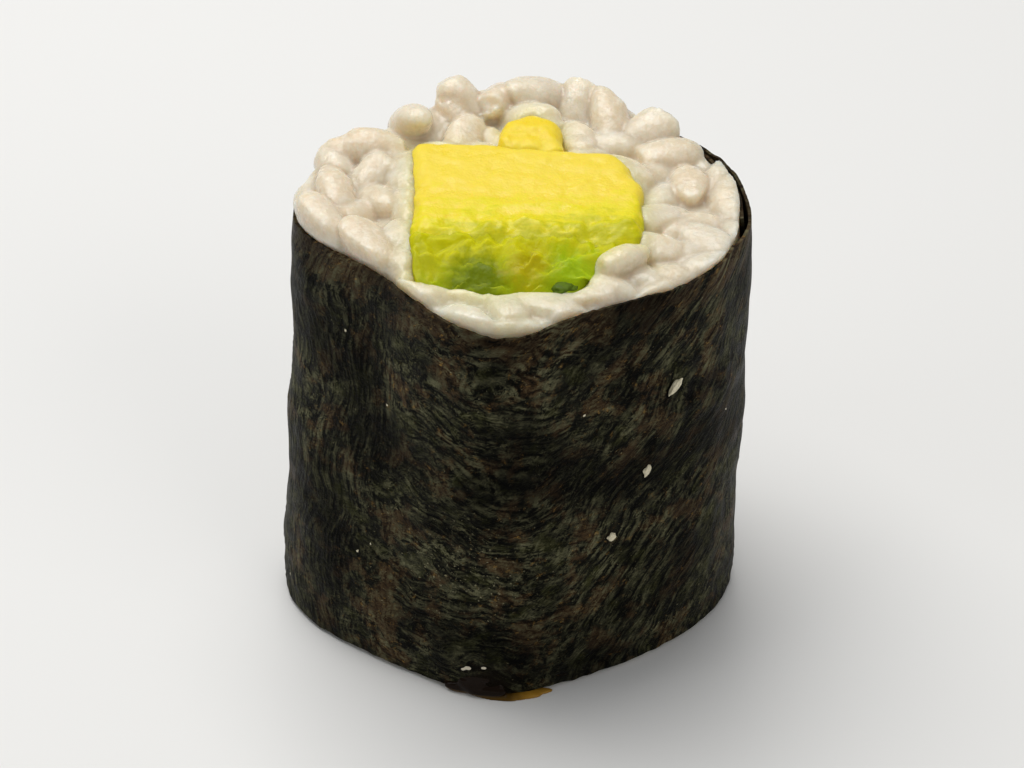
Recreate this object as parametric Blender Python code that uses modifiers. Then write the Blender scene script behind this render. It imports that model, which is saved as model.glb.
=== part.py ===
"""One piece of an avocado hosomaki, standing on its cut end.

A half sheet of nori is rolled round sushi rice, with three strips of avocado running through the middle.
Metres, +Z up, the cook's near side towards -Y. The origin is under the middle of the piece, on the surface it stands on.
"""

import math
import random

import bmesh
import bpy
import numpy as np
from mathutils import Matrix, Vector, noise

# The cut piece
PIECE_HEIGHT = 0.0310
SECTION_CENTRE = Vector((0.00003, 0.00015))
CLEARANCE = 0.0003

# The wall's plan, at the top cut and at the foot: a mean radius, and lobes as (count, reach, heading in degrees)
TOP_RADIUS = 0.0137
TOP_LOBES = (
    (1, 0.00062, 50),
    (2, 0.00089, -5),
    (3, 0.00036, 31),
    (4, 0.00079, -7),
    (5, 0.00036, -35),
)
FOOT_RADIUS = 0.0144
FOOT_LOBES = (
    (1, 0.00066, -112),
    (2, 0.00102, 11),
    (3, 0.00031, -35),
    (4, 0.00040, 5),
    (5, 0.00038, -24),
)
DENT_DEPTH = 0.00030
DENTS_ROUND_RADIUS = 2.3
TUCK_HEIGHT = 0.0035
FOOT_TUCK = 0.0001
RIM_TUCK = 0.0003

# The nori
SHEET_WIDTH = 0.105
SHEET_THICKNESS = 0.00035
SHEET_COLUMNS = 84
SHEET_ROWS = 9
SEAM_START = math.radians(-4)
SEAM_CLIMB = math.radians(16)
SEAM_GAP = 0.00015
FOOT_LIFT = 0.0002

# How far the nori's top edge stands above or below the piece's height: reach, heading and spread in degrees
RIM_SWELLS = (
    (-0.0011, 138, 68),
    (-0.0006, 266, 14),
    (0.0004, 0, 30),
)
EDGE_RIPPLE = 0.00013

# The rice
CORE_FOOT = 0.0011
CORE_TOP = 0.0299
FAR_SIDE = (112, 82)
FAR_SIDE_BULGE = 0.0019
RICE_OVERHANG = 0.0007
WALL_SEGMENTS = 72
WALL_RINGS = 9
GRAIN_LENGTH = 0.0064
GRAIN_WIDTH = 0.0031
GRAIN_DEPTH = 0.0027
GRAIN_SEGMENTS = 8
GRAIN_RINGS = 4
GRAINS_OVER_SECTION = 74
GRAIN_FOOT_LEVEL = 0.0011
GRAIN_TOP_LEVEL = 0.0302
GOLDEN_ANGLE = math.pi * (3 - math.sqrt(5))

# The avocado strips: plan corners, anticlockwise, and the height and slope of their cut tops
SLAB_CORNERS = ((-0.0074, -0.0052), (0.0080, -0.0056), (0.0084, 0.0010), (0.0066, 0.0048), (-0.0073, 0.0064))
SLAB_TOP = 0.0327
SLAB_SLOPE = (0.012, 0.020)
SLICE_CORNERS = ((-0.0070, -0.0083), (-0.0020, -0.0091), (0.0036, -0.0090), (0.0068, -0.0063), (-0.0073, -0.0057))
SLICE_TOP = 0.0340
SLICE_SLOPE = (0.0, 0.32)
OFFCUT_CORNERS = ((-0.0014, 0.0062), (0.0028, 0.0057), (0.0026, 0.0083), (0.0006, 0.0095), (-0.0013, 0.0084))
OFFCUT_TOP = 0.0330
OFFCUT_SLOPE = (0.0, -0.05)
STRIP_TWIST = math.radians(-7)
STRIP_EDGE = 0.0007
CHANNEL_OVERRUN = 0.001


def clear_scene():
    for obj in list(bpy.data.objects):
        bpy.data.objects.remove(obj)


def new_collection(name):
    collection = bpy.data.collections.new(name)
    bpy.context.scene.collection.children.link(collection)
    return collection


def material(name, colour, roughness):
    made = bpy.data.materials.new(name)
    made.use_nodes = True
    shader = made.node_tree.nodes["Principled BSDF"]
    shader.inputs["Base Color"].default_value = (*colour, 1.0)
    shader.inputs["Roughness"].default_value = roughness
    shader.inputs["Metallic"].default_value = 0.0
    made.diffuse_color = (*colour, 1.0)
    return made


def blend(low, high, share):
    return low + (high - low) * share


def eased(share):
    share = min(max(share, 0.0), 1.0)
    return share * share * (3 - 2 * share)


def swell(angle, heading, spread):
    """1 at the heading, falling smoothly to 0 some spreads away, all angles in degrees but the first."""
    away = (math.degrees(angle) - heading + 180) % 360 - 180
    return math.exp(-((away / spread) ** 2))


def lobed(mean, lobes, angle):
    return mean + sum(reach * math.cos(count * (angle - math.radians(heading))) for count, reach, heading in lobes)


def wall_radius(angle, height):
    """Radius of the nori's outer face, before the seam's second layer."""
    share = eased(height / PIECE_HEIGHT)
    radius = blend(lobed(FOOT_RADIUS, FOOT_LOBES, angle), lobed(TOP_RADIUS, TOP_LOBES, angle), share)
    spot = Vector((math.cos(angle), math.sin(angle), height / TOP_RADIUS)) * DENTS_ROUND_RADIUS
    radius += DENT_DEPTH * noise.noise(spot)
    radius -= FOOT_TUCK * max(0.0, 1 - height / TUCK_HEIGHT) ** 2
    radius -= RIM_TUCK * max(0.0, 1 - (PIECE_HEIGHT - height) / TUCK_HEIGHT) ** 2
    return radius


def wall_point(angle, height, inset=0.0):
    radius = wall_radius(angle, height) - inset
    return Vector((
        radius * math.cos(angle) + SECTION_CENTRE.x,
        radius * math.sin(angle) + SECTION_CENTRE.y,
        height,
    ))


def far_side(angle):
    """1 where the rice bulges over the nori's edge, on the side away from the cook."""
    return swell(angle, *FAR_SIDE)


def rim_height(angle):
    ripple = EDGE_RIPPLE * (math.sin(7 * angle + 1) + math.sin(13 * angle + 2))
    return PIECE_HEIGHT + ripple + sum(reach * swell(angle, heading, spread) for reach, heading, spread in RIM_SWELLS)


def foot_height(angle):
    return FOOT_LIFT + 0.5 * EDGE_RIPPLE * (1 + math.sin(9 * angle))


def seam_lift(turn):
    """How far the sheet's outer face has climbed onto its own first stretch."""
    climbed = (turn - (SEAM_START + math.tau - SEAM_CLIMB)) / SEAM_CLIMB
    return eased(climbed) * (SHEET_THICKNESS + SEAM_GAP)


def sheet_turns(height, lengths):
    """The angles that a sheet rolled from the seam's start has reached after each of the lengths."""
    turns = np.linspace(SEAM_START, SEAM_START + 1.5 * math.tau, 900)
    points = np.array([wall_point(turn, height, -seam_lift(turn))[:2] for turn in turns])
    run = np.concatenate([[0.0], np.cumsum(np.linalg.norm(np.diff(points, axis=0), axis=1))])
    return np.interp(lengths, run, turns)


def nori_sheet(collection, finish):
    """A flat grid, as wide as half a sheet, rolled up along the wall and given its thickness inwards."""
    bpy.ops.mesh.primitive_grid_add(x_subdivisions=SHEET_COLUMNS, y_subdivisions=SHEET_ROWS, size=1)
    sheet = bpy.context.object
    sheet.name = "nori_sheet"
    rows = {}
    for vertex in sheet.data.vertices:
        rows.setdefault(round(vertex.co.y + 0.5, 4), []).append(vertex)
    for share, row in rows.items():
        lengths = [(vertex.co.x + 0.5) * SHEET_WIDTH for vertex in row]
        turns = sheet_turns(share * PIECE_HEIGHT, lengths)
        for vertex, turn in zip(row, turns):
            height = blend(foot_height(turn), rim_height(turn), share)
            vertex.co = wall_point(turn, height, -seam_lift(turn))
    solidify = sheet.modifiers.new("thickness", "SOLIDIFY")
    solidify.thickness = SHEET_THICKNESS
    solidify.offset = -1
    finish_object(sheet, collection, finish)
    return sheet


def finish_object(obj, collection, finish):
    for old in list(obj.users_collection):
        old.objects.unlink(obj)
    collection.objects.link(obj)
    obj.data.materials.clear()
    obj.data.materials.append(finish)
    obj.data.shade_smooth()
    obj.data.set_sharp_from_angle(angle=math.radians(40))


def ringed_body(name, collection, rings):
    """A closed body through stacked rings, each a function from an angle to a point."""
    shape = bmesh.new()
    bmesh.ops.create_cone(shape, cap_ends=True, segments=WALL_SEGMENTS, radius1=1, radius2=1, depth=1)
    upright = [edge for edge in shape.edges if abs(edge.verts[0].co.z - edge.verts[1].co.z) > 0.5]
    bmesh.ops.subdivide_edges(shape, edges=upright, cuts=len(rings) - 2, use_grid_fill=True)
    for vertex in shape.verts:
        ring = round((vertex.co.z + 0.5) * (len(rings) - 1))
        vertex.co = rings[ring](math.atan2(vertex.co.y, vertex.co.x))
    mesh = bpy.data.meshes.new(name)
    shape.to_mesh(mesh)
    shape.free()
    body = bpy.data.objects.new(name, mesh)
    collection.objects.link(body)
    return body


def rice_core(collection):
    """The packed rice under the grains that show, wider than the wall until it is trimmed."""
    return ringed_body("rice", collection, [
        lambda angle, level=level: wall_point(angle, level, -CLEARANCE) for level in (CORE_FOOT, CORE_TOP)
    ])


def rice_envelope(collection):
    """What the rice may fill: inside the nori up to its edge, and a little over that edge above it."""
    inset = SHEET_THICKNESS + CLEARANCE

    def inside(share):
        return lambda angle: wall_point(angle, share * (rim_height(angle) + CLEARANCE), inset)

    def overhang(angle):
        return blend(inset, -RICE_OVERHANG, far_side(angle))

    def above(angle):
        spot = wall_point(angle, rim_height(angle), overhang(angle))
        spot.z += 1.3 * CLEARANCE
        return spot

    def top(angle):
        spot = wall_point(angle, PIECE_HEIGHT, overhang(angle))
        spot.z += PIECE_HEIGHT
        return spot

    rings = [inside(ring / (WALL_RINGS - 1)) for ring in range(WALL_RINGS)]
    return ringed_body("envelope", collection, [*rings, above, top])


def grain_mesh(name, chance):
    """A cooked grain: a plump spindle, a little slimmer at one end."""
    shape = bmesh.new()
    bmesh.ops.create_uvsphere(shape, u_segments=GRAIN_SEGMENTS, v_segments=GRAIN_RINGS, radius=0.5)
    bmesh.ops.rotate(shape, verts=shape.verts, matrix=Matrix.Rotation(math.pi / 2, 3, "Y"))
    size = chance.uniform(0.92, 1.08)
    for vertex in shape.verts:
        plumper = max(2 * vertex.co.yz.length, 0.1) ** -0.5
        slimmer = 1 - 0.25 * (vertex.co.x + 0.5) ** 2
        vertex.co.x *= GRAIN_LENGTH * size
        vertex.co.y *= GRAIN_WIDTH * size * slimmer * plumper
        vertex.co.z *= GRAIN_DEPTH * size * slimmer * plumper
    mesh = bpy.data.meshes.new(name)
    shape.to_mesh(mesh)
    shape.free()
    return mesh


def grain_places(level, bulge, chance):
    """Evenly spread places over the section, turned along the wall near it and anyhow further in."""
    for count in range(GRAINS_OVER_SECTION):
        share = math.sqrt((count + 0.5) / GRAINS_OVER_SECTION)
        angle = count * GOLDEN_ANGLE + chance.uniform(-0.05, 0.05)
        at_wall = eased((share - 0.6) / 0.3)
        spot = wall_point(angle, level)
        reach = share * (1 - 0.05 * at_wall)
        spot.x *= reach
        spot.y *= reach
        spot.z = level + chance.uniform(-0.0003, 0.0003) + bulge * far_side(angle) * at_wall
        loose = chance.uniform(-math.pi / 2, math.pi / 2)
        heading = angle + math.pi / 2 + blend(1.0, 0.35, at_wall) * loose
        tilt = chance.uniform(-0.3, 0.3)
        roll = chance.uniform(-0.5, 0.5)
        turned = Matrix.Rotation(heading, 4, "Z") @ Matrix.Rotation(tilt, 4, "Y") @ Matrix.Rotation(roll, 4, "X")
        yield spot, turned


def rice_grains(collection):
    """The grains that show on both cut faces. None stands in the avocado."""
    chance = random.Random(7)
    inner = [inner_corners(corners) for corners in (SLAB_CORNERS, SLICE_CORNERS, OFFCUT_CORNERS)]
    for level, bulge in ((GRAIN_TOP_LEVEL, FAR_SIDE_BULGE), (GRAIN_FOOT_LEVEL, 0.0)):
        twist = STRIP_TWIST * (1 - level / PIECE_HEIGHT)
        for spot, turned in grain_places(level, bulge, chance):
            plan = Matrix.Rotation(-twist, 2) @ spot.xy
            if any(holds(corners, plan) for corners in inner):
                continue
            name = f"grain_{len(collection.objects):03d}"
            grain = bpy.data.objects.new(name, grain_mesh(name, chance))
            grain.matrix_world = Matrix.Translation(spot) @ turned
            collection.objects.link(grain)


def inner_corners(corners, inset=0.0004):
    """The corners moved towards their middle, so that grains may lean on a strip but not start inside it."""
    middle = sum((Vector(corner) for corner in corners), Vector((0, 0))) / len(corners)
    return [Vector(corner) - (Vector(corner) - middle).normalized() * inset for corner in corners]


def holds(corners, plan):
    """Whether a convex anticlockwise outline holds a point."""
    following = corners[1:] + corners[:1]
    return all((b - a).cross(plan - a) > 0 for a, b in zip(corners, following))


def strip(name, corners, low, tops, grow, collection):
    """An upright strip of avocado: its plan outline drawn out between two heights, turned a little towards its foot."""
    outline = bpy.data.curves.new(name, "CURVE")
    outline.dimensions = "2D"
    outline.fill_mode = "BOTH"
    outline.extrude = 0.5
    spline = outline.splines.new("POLY")
    spline.points.add(len(corners) - 1)
    spline.use_cyclic_u = True
    for point, corner in zip(spline.points, corners):
        point.co = (*corner, 0, 1)
    drawn = bpy.data.objects.new(name + "_outline", outline)
    collection.objects.link(drawn)
    bpy.context.view_layer.update()
    mesh = bpy.data.meshes.new_from_object(drawn.evaluated_get(bpy.context.evaluated_depsgraph_get()))
    bpy.data.objects.remove(drawn)
    bpy.data.curves.remove(outline)
    mesh.name = name
    shape = bmesh.new()
    shape.from_mesh(mesh)
    bmesh.ops.remove_doubles(shape, verts=shape.verts, dist=1e-7)
    bmesh.ops.dissolve_limit(shape, angle_limit=0.01, verts=shape.verts, edges=shape.edges)
    for vertex in shape.verts:
        plan = vertex.co.xy
        height = tops(plan) if vertex.co.z > 0 else low
        turned = Matrix.Rotation(STRIP_TWIST * (1 - height / PIECE_HEIGHT), 2) @ plan
        vertex.co = (turned.x, turned.y, height)
    bmesh.ops.recalc_face_normals(shape, faces=shape.faces)
    shape.to_mesh(mesh)
    shape.free()
    made = bpy.data.objects.new(name, mesh)
    collection.objects.link(made)
    rounded = made.modifiers.new("rounded_edges", "BEVEL")
    rounded.width = STRIP_EDGE + grow
    rounded.segments = 3
    rounded.limit_method = "ANGLE"
    rounded.angle_limit = math.radians(25)
    return made


def sloped_top(height, slope):
    return lambda plan: height + slope[0] * plan.x + slope[1] * plan.y


def channel_top(plan):
    return PIECE_HEIGHT + 3 * CHANNEL_OVERRUN


def grown(corners, by):
    """The outline with each side moved outwards."""
    made = []
    for before, corner, after in zip(corners[-1:] + corners[:-1], corners, corners[1:] + corners[:1]):
        arriving = (Vector(corner) - Vector(before)).normalized()
        leaving = (Vector(after) - Vector(corner)).normalized()
        outwards = Vector((arriving.y + leaving.y, -arriving.x - leaving.x)).normalized()
        made.append(Vector(corner) + outwards * by / outwards.dot(Vector((arriving.y, -arriving.x))))
    return made


def applied_boolean(obj, operation, operand, solver="MANIFOLD"):
    """Joins, trims or cuts an object by another object or by a whole collection."""
    boolean = obj.modifiers.new(operation.lower(), "BOOLEAN")
    boolean.operation = operation
    boolean.solver = solver
    if isinstance(operand, bpy.types.Collection):
        boolean.operand_type = "COLLECTION"
        boolean.collection = operand
    else:
        boolean.object = operand
    bpy.context.view_layer.update()
    mesh = bpy.data.meshes.new_from_object(obj.evaluated_get(bpy.context.evaluated_depsgraph_get()))
    obj.modifiers.clear()
    obj.data = mesh


def keep_largest_shell(obj):
    """Drops loose scraps, and fills hollows that the joining sealed, by removing every shell but the largest."""
    shape = bmesh.new()
    shape.from_mesh(obj.data)
    left = set(shape.verts)
    shells = []
    while left:
        shell, edge_of_shell = set(), [left.pop()]
        while edge_of_shell:
            vertex = edge_of_shell.pop()
            shell.add(vertex)
            for edge in vertex.link_edges:
                other = edge.other_vert(vertex)
                if other in left:
                    left.remove(other)
                    edge_of_shell.append(other)
        shells.append(shell)
    largest = max(shells, key=len)
    bmesh.ops.delete(shape, geom=[v for v in shape.verts if v not in largest], context="VERTS")
    shape.to_mesh(obj.data)
    shape.free()


def main():
    clear_scene()
    piece = new_collection("avocado_hosomaki")
    helpers = new_collection("cutters")
    grains = new_collection("grains")

    nori = material("nori", (0.012, 0.016, 0.010), 0.45)
    white_rice = material("rice", (0.80, 0.77, 0.70), 0.35)
    yellow = material("avocado_flesh", (0.86, 0.74, 0.13), 0.35)
    green = material("avocado_rim", (0.42, 0.55, 0.06), 0.35)

    nori_sheet(piece, nori)

    strips = (
        ("avocado_slab", SLAB_CORNERS, sloped_top(SLAB_TOP, SLAB_SLOPE), yellow),
        ("avocado_slice", SLICE_CORNERS, sloped_top(SLICE_TOP, SLICE_SLOPE), green),
        ("avocado_offcut", OFFCUT_CORNERS, sloped_top(OFFCUT_TOP, OFFCUT_SLOPE), yellow),
    )
    rice = rice_core(piece)
    rice_grains(grains)
    applied_boolean(rice, "UNION", grains)
    applied_boolean(rice, "INTERSECT", rice_envelope(helpers))
    for name, corners, tops, finish in strips:
        made = strip(name, corners, 0.0, tops, 0.0, piece)
        finish_object(made, piece, finish)
        channel = grown(list(corners), CLEARANCE)
        cutter = strip(name + "_channel", channel, -CHANNEL_OVERRUN, channel_top, CLEARANCE, helpers)
        applied_boolean(rice, "DIFFERENCE", cutter)
    keep_largest_shell(rice)
    finish_object(rice, piece, white_rice)

    for helper in [*helpers.objects, *grains.objects]:
        bpy.data.objects.remove(helper)
    bpy.data.collections.remove(helpers)
    bpy.data.collections.remove(grains)


main()
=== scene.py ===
# Avocado hosomaki piece: a rolled nori sheet, rice with whole grains at both cuts, avocado strips.
# Everything is in metres with +Z up. The piece stands on its cut end at the origin.

import math
import random

import bpy
import numpy as np
from mathutils import Matrix, Vector, noise


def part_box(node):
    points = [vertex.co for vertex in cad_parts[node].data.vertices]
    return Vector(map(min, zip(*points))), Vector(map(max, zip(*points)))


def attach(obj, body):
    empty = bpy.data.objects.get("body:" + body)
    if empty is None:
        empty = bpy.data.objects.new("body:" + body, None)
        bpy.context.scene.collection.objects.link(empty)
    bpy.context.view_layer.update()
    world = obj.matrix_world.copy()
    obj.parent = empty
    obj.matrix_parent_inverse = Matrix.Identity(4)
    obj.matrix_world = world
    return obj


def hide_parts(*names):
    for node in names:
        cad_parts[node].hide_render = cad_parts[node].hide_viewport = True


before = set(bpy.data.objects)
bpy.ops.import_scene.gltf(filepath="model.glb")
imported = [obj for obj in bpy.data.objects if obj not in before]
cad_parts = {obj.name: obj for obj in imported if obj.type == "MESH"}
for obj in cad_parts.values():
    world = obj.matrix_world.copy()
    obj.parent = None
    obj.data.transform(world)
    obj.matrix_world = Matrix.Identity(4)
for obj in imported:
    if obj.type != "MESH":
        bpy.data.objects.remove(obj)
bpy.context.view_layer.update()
print("frame loaded:", sorted(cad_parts))


# The roll's section at its top and its foot: a mean radius, and lobes as count, reach and heading in degrees
section = {
    "height": 0.0310,
    "centre": (0.00003, 0.00015),
    "topRadius": 0.0137,
    "topLobes": ((1, 0.00062, 50), (2, 0.00089, -5), (3, 0.00036, 31),
                 (4, 0.00079, -7), (5, 0.00036, -35)),
    "footRadius": 0.0144,
    "footLobes": ((1, 0.00066, -112), (2, 0.00102, 11), (3, 0.00031, -35),
                  (4, 0.00040, 5), (5, 0.00038, -24)),
    "dentDepth": 0.0003,
    "dentScale": 2.3,
    "tuckHeight": 0.0035,
    "footTuck": 0.0001,
    "rimTuck": 0.0003,
    "rimSwells": ((-0.0011, 138, 68), (-0.0006, 266, 14), (0.0004, 0, 30)),  # rise, heading and spread
    "farSide": (112, 82),  # heading and spread of the side where the rice stands over the edge
}


def ease(share):
    share = min(max(share, 0.0), 1.0)
    return share * share * (3 - 2 * share)


def mix(low, high, share):
    return low + (high - low) * share


def swell(angle, heading, spread):
    away = (math.degrees(angle) - heading + 180) % 360 - 180
    return math.exp(-((away / spread) ** 2))


driftOffsets = (Vector((17, 3, 5)), Vector((5, 29, 11)), Vector((13, 7, 31)))


# A noise in three directions that is the same in every run
def driftAt(spot):
    return Vector([noise.noise(spot + offset) for offset in driftOffsets])


def lobed(mean, lobes, angle):
    waves = (reach * math.cos(count * (angle - math.radians(heading))) for count, reach, heading in lobes)
    return mean + sum(waves)


def wallRadius(angle, height):
    top = lobed(section["topRadius"], section["topLobes"], angle)
    foot = lobed(section["footRadius"], section["footLobes"], angle)
    radius = mix(foot, top, ease(height / section["height"]))
    onCylinder = Vector((math.cos(angle), math.sin(angle), height / section["topRadius"]))
    radius += section["dentDepth"] * noise.noise(onCylinder * section["dentScale"])
    fromFoot = max(0.0, 1 - height / section["tuckHeight"])
    fromRim = max(0.0, 1 - (section["height"] - height) / section["tuckHeight"])
    return radius - section["footTuck"] * fromFoot ** 2 - section["rimTuck"] * fromRim ** 2


def wallPoint(angle, height, inset=0.0):
    radius = wallRadius(angle, height) - inset
    x = radius * math.cos(angle) + section["centre"][0]
    y = radius * math.sin(angle) + section["centre"][1]
    return Vector((x, y, height))


def farSide(angle):
    return swell(angle, *section["farSide"])


def rimHeight(angle):
    swells = (rise * swell(angle, heading, spread) for rise, heading, spread in section["rimSwells"])
    return section["height"] + sum(swells)


def turnedBy(angle, axis="Z"):
    return Matrix.Rotation(angle, 4, axis)


def setMode(mode):
    bpy.ops.object.mode_set(mode=mode)


def deselectAll():
    bpy.ops.object.select_all(action="DESELECT")


def pick(*objects):
    deselectAll()
    for obj in objects:
        obj.select_set(True)
    bpy.context.view_layer.objects.active = objects[0]


def joinMeshes(*objects):
    pick(*objects)
    bpy.ops.object.join()
    return objects[0]


def shadeSmooth(obj):
    pick(obj)
    bpy.ops.object.shade_smooth()


def applyModifiers(obj):
    pick(obj)
    for modifier in list(obj.modifiers):
        bpy.ops.object.modifier_apply(modifier=modifier.name)


def selectVertices(obj, test):
    setMode("EDIT")
    bpy.ops.mesh.select_mode(type="VERT")
    bpy.ops.mesh.select_all(action="DESELECT")
    setMode("OBJECT")
    for vertex in obj.data.vertices:
        vertex.select = test(vertex.co)
    setMode("EDIT")


def vertexPlaces(obj):
    places = np.empty(len(obj.data.vertices) * 3, np.float32)
    obj.data.vertices.foreach_get("co", places)
    return places.reshape(-1, 3).astype(float)


def placeVertices(obj, places):
    obj.data.vertices.foreach_set("co", np.asarray(places, np.float32).ravel())
    obj.data.update()


def voxelRemesh(obj, voxel, smoothing):
    remesh = obj.modifiers.new("remesh", "REMESH")
    remesh.mode = "VOXEL"
    remesh.voxel_size = voxel
    smooth = obj.modifiers.new("smooth", "SMOOTH")
    smooth.factor = 0.5
    smooth.iterations = smoothing
    applyModifiers(obj)


def finishPiece(obj, material, slot, *nodes):
    obj.data.materials.clear()
    obj.data.materials.append(material)
    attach(obj, "root")
    if nodes:
        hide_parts(*nodes)


# Gives a node's input a link from another node's output, or else a plain value
def feed(tree, socket, value):
    if isinstance(value, bpy.types.NodeSocket):
        tree.links.new(value, socket)
    elif socket.type == "RGBA":
        socket.default_value = (*value, 1.0)
    else:
        socket.default_value = value


def feedAll(tree, node, **inputs):
    for name, value in inputs.items():
        feed(tree, node.inputs[name.replace("_", " ")], value)


def addNode(tree, kind, **inputs):
    node = tree.nodes.new("ShaderNode" + kind)
    feedAll(tree, node, **inputs)
    return node


# Each of the helpers below adds one node and returns the output that is read
def addNoise(tree, place, scale, detail, roughness=0.5):
    node = addNode(tree, "TexNoise", Vector=place, Scale=scale, Detail=detail, Roughness=roughness)
    return node.outputs["Fac"]


def addRange(tree, value, fromLow, fromHigh, toLow=0.0, toHigh=1.0):
    ends = {"From_Min": fromLow, "From_Max": fromHigh, "To_Min": toLow, "To_Max": toHigh}
    return addNode(tree, "MapRange", Value=value, **ends).outputs["Result"]


# A stop's colour may be one number, for a grey
def addRamp(tree, share, *stops):
    ramp = addNode(tree, "ValToRGB", Fac=share)
    elements = ramp.color_ramp.elements
    while len(elements) < len(stops):
        elements.new(0.5)
    for element, (place, colour) in zip(elements, stops):
        element.position = place
        element.color = (*colour, 1.0) if isinstance(colour, tuple) else (colour, colour, colour, 1.0)
    return ramp.outputs["Color"]


def addMath(tree, operation, *values):
    node = tree.nodes.new("ShaderNodeMath")
    node.operation = operation
    for socket, value in zip(node.inputs, values):
        feed(tree, socket, value)
    return node.outputs["Value"]


def addVectorMath(tree, operation, first, second):
    node = tree.nodes.new("ShaderNodeVectorMath")
    node.operation = operation
    feed(tree, node.inputs[0], first)
    feed(tree, node.inputs["Scale" if operation == "SCALE" else 1], second)
    return node.outputs["Value" if operation in ("DISTANCE", "DOT_PRODUCT") else "Vector"]


def addMix(tree, factor, first, second):
    node = tree.nodes.new("ShaderNodeMix")
    node.data_type = "RGBA"
    sockets = node.inputs["Factor"], node.inputs[6], node.inputs[7]
    for socket, value in zip(sockets, (factor, first, second)):
        feed(tree, socket, value)
    return node.outputs[2]


def addAttribute(tree, name):
    node = tree.nodes.new("ShaderNodeAttribute")
    node.attribute_name = name
    return node.outputs["Fac"]


def newGroup(name, numbers, outputs):
    group = bpy.data.node_groups.new(name, "ShaderNodeTree")
    group.interface.new_socket(name="Vector", in_out="INPUT", socket_type="NodeSocketVector")
    for label, value in numbers.items():
        socket = group.interface.new_socket(name=label, in_out="INPUT", socket_type="NodeSocketFloat")
        socket.default_value = value
    for label, kind in outputs.items():
        group.interface.new_socket(name=label, in_out="OUTPUT", socket_type="NodeSocket" + kind)
    return group, group.nodes.new("NodeGroupInput").outputs, group.nodes.new("NodeGroupOutput")


# Streaks that drift and curl: a stretched noise, read through coordinates that a broad noise has moved about
def makeDriftGroup():
    numbers = {"Turn": 0.0, "Fineness": 4.0, "Stretch": 8.0, "Drift": 2.0, "Drift Scale": 0.2}
    group, taken, given = newGroup("driftingStreaks", numbers, {"Streaks": "Float"})
    broad = addNode(group, "TexNoise", Vector=taken["Vector"], Scale=taken["Drift Scale"], Detail=2.0)
    centred = addVectorMath(group, "SUBTRACT", broad.outputs["Color"], (0.5, 0.5, 0.5))
    drifted = addVectorMath(group, "SCALE", centred, taken["Drift"])
    moved = addVectorMath(group, "ADD", taken["Vector"], drifted)
    turned = group.nodes.new("ShaderNodeVectorRotate")
    turned.rotation_type = "Z_AXIS"
    feedAll(group, turned, Vector=moved, Angle=taken["Turn"])
    parts = addNode(group, "SeparateXYZ", Vector=turned.outputs["Vector"]).outputs
    shrunk = addMath(group, "DIVIDE", parts["X"], taken["Stretch"])
    together = addNode(group, "CombineXYZ", X=shrunk, Y=parts["Y"], Z=parts["Z"])
    feedAll(group, given, Streaks=addNoise(group, together.outputs["Vector"], taken["Fineness"], 3.0, 0.6))
    return group


# Moist cut food: a patchy roughness, and a normal with soft unevenness and fine grit
def makeMoistGroup():
    numbers = {"Scale": 1.0, "Wet": 0.15, "Dry": 0.45, "Grit": 0.3, "Depth": 0.0001}
    outputs = {"Roughness": "Float", "Normal": "Vector", "Patches": "Float"}
    group, taken, given = newGroup("moistSkin", numbers, outputs)
    patches = addNoise(group, taken["Vector"], taken["Scale"], 3.0, 0.6)
    roughness = addRange(group, patches, 0.35, 0.65, taken["Wet"], taken["Dry"])
    finer = addMath(group, "MULTIPLY", taken["Scale"], 5.0)
    grit = addNoise(group, taken["Vector"], finer, 2.0)
    relief = addMath(group, "MULTIPLY_ADD", grit, taken["Grit"], patches)
    bump = addNode(group, "Bump", Strength=1.0, Height=relief, Distance=taken["Depth"])
    feedAll(group, given, Roughness=roughness, Normal=bump.outputs["Normal"], Patches=patches)
    return group


driftGroup = makeDriftGroup()
moistGroup = makeMoistGroup()


def placeGroup(tree, group, place, **values):
    node = tree.nodes.new("ShaderNodeGroup")
    node.node_tree = group
    feedAll(tree, node, Vector=place, **values)
    return node.outputs


def newMaterial(name):
    material = bpy.data.materials.new(name)
    material.use_nodes = True
    return material, material.node_tree, material.node_tree.nodes["Principled BSDF"]


def inMillimetres(tree):
    place = addNode(tree, "TexCoord").outputs["Object"]
    return addNode(tree, "Mapping", Vector=place, Scale=(1000, 1000, 1000)).outputs["Vector"]


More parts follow.
